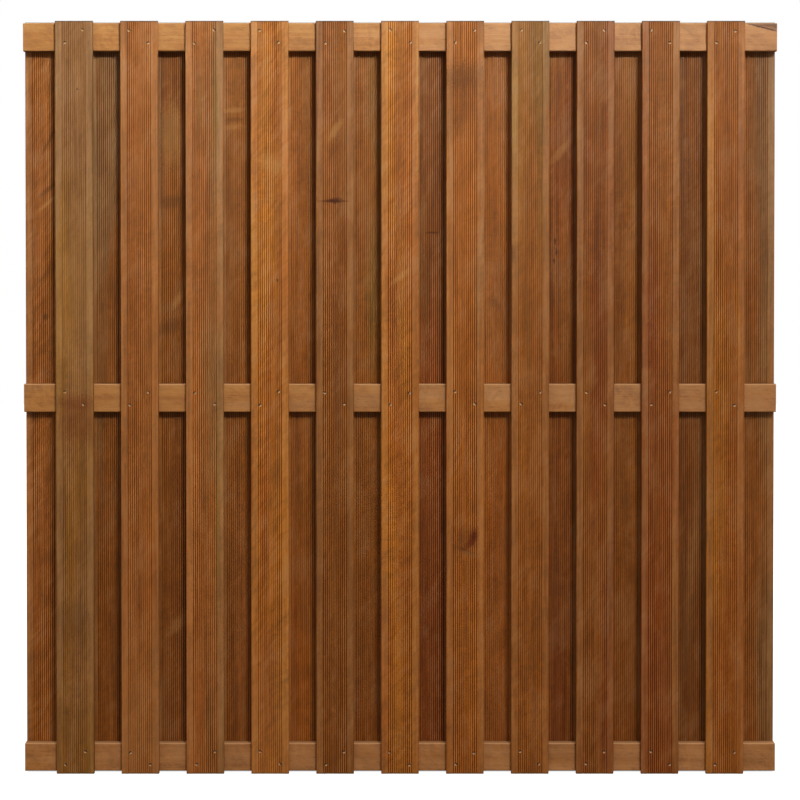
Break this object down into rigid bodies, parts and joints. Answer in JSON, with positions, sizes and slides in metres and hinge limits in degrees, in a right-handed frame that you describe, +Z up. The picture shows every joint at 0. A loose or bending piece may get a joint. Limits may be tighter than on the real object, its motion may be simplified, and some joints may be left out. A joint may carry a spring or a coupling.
{
  "type": "hardwood fence panel",
  "caption": "Square hit-and-miss garden fence panel of ribbed hardwood boards, nailed by turns to the front and the back of horizontal rails.",
  "frame": {"origin": "centre of the bottom rail's left end face, seen from the front", "axes": "+X along the rails to the right, +Y from the front of the panel to its back, +Z up"},
  "size_m": [1.8, 0.062, 1.8],
  "materials": {
    "front_board_wood": "fine-ribbed planed hardwood, unfinished, matt",
    "back_board_wood": "fine-ribbed planed hardwood, unfinished, matt",
    "rail_wood": "smooth planed hardwood, unfinished, matt",
    "nail_steel": "small plain stainless nail heads"
  },
  "bodies": {
    "root": {"front_board_01": "front_board_wood", "front_board_02": "front_board_wood", "front_board_03": "front_board_wood", "front_board_04": "front_board_wood", "front_board_05": "front_board_wood", "front_board_06": "front_board_wood", "front_board_07": "front_board_wood", "front_board_08": "front_board_wood", "front_board_09": "front_board_wood", "front_board_10": "front_board_wood", "front_board_11": "front_board_wood", "back_board_01": "back_board_wood", "back_board_02": "back_board_wood", "back_board_03": "back_board_wood", "back_board_04": "back_board_wood", "back_board_05": "back_board_wood", "back_board_06": "back_board_wood", "back_board_07": "back_board_wood", "back_board_08": "back_board_wood", "back_board_09": "back_board_wood", "back_board_10": "back_board_wood", "back_board_11": "back_board_wood", "back_board_12": "back_board_wood", "bottom_rail": "rail_wood", "middle_rail": "rail_wood", "top_rail": "rail_wood"}
  },
  "joints": []
}
